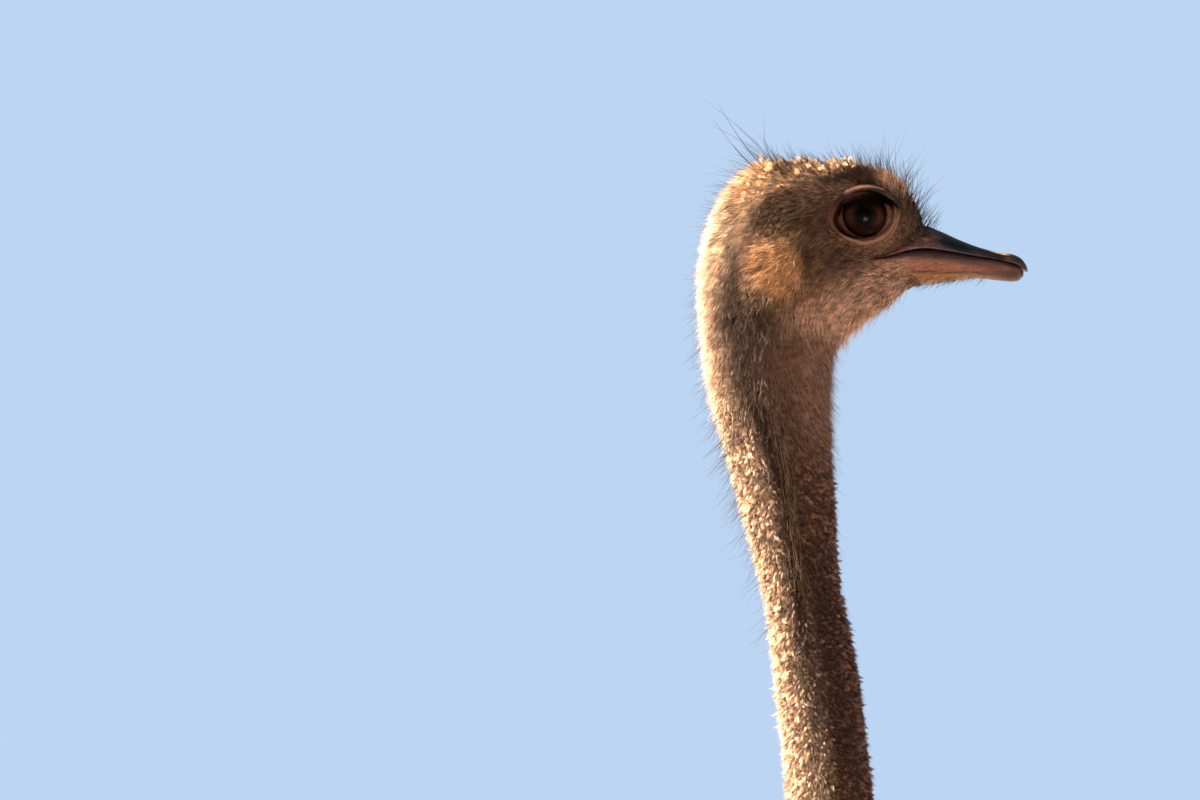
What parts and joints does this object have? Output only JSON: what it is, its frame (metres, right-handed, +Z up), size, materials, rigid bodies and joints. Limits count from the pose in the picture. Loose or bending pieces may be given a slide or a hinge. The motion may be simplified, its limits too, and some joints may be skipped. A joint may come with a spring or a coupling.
{
  "type": "ostrich",
  "caption": "Life-size standing ostrich hen, head up on a long downy neck, wings folded, feet slightly apart, as a still display model.",
  "frame": {"origin": "on the floor, under the middle of the bird's bounding box", "axes": "+X ahead, the way the bird faces; +Y to its left; +Z up"},
  "size_m": [1.2069, 0.508, 1.95],
  "materials": {
    "hen_down": "short woolly down and fine hair-like feathers, beige-brown",
    "grey_brown_plumage": "loose soft body feathers, grey-brown with pale fringes",
    "pale_plumes": "long drooping plumes, pale grey-brown",
    "bare_skin": "bare pinkish-grey skin with fine folds",
    "leg_scales": "horny scutes and small scales, grey-brown",
    "bill_horn": "smooth dark horn over the ridge, pinkish-brown at the gape and lower edge",
    "claw_horn": "worn dark horn",
    "eye": "wet gloss over a very dark brown iris"
  },
  "bodies": {
    "root": {"head": "hen_down", "bill_upper": "bill_horn", "bill_lower": "bill_horn", "eye_right": "eye", "ear_right": "hen_down", "eye_left": "eye", "ear_left": "hen_down", "neck_upper": "hen_down", "neck_middle": "hen_down", "neck_lower": "hen_down", "trunk": "grey_brown_plumage", "wing_right": "grey_brown_plumage", "thigh_right": "bare_skin", "shank_right": "leg_scales", "foot_right": "leg_scales", "toe_inner_right": "leg_scales", "claw_inner_right": "claw_horn", "toe_outer_right": "leg_scales", "wing_left": "grey_brown_plumage", "thigh_left": "bare_skin", "shank_left": "leg_scales", "foot_left": "leg_scales", "toe_inner_left": "leg_scales", "claw_inner_left": "claw_horn", "toe_outer_left": "leg_scales", "tail": "pale_plumes"}
  },
  "joints": []
}
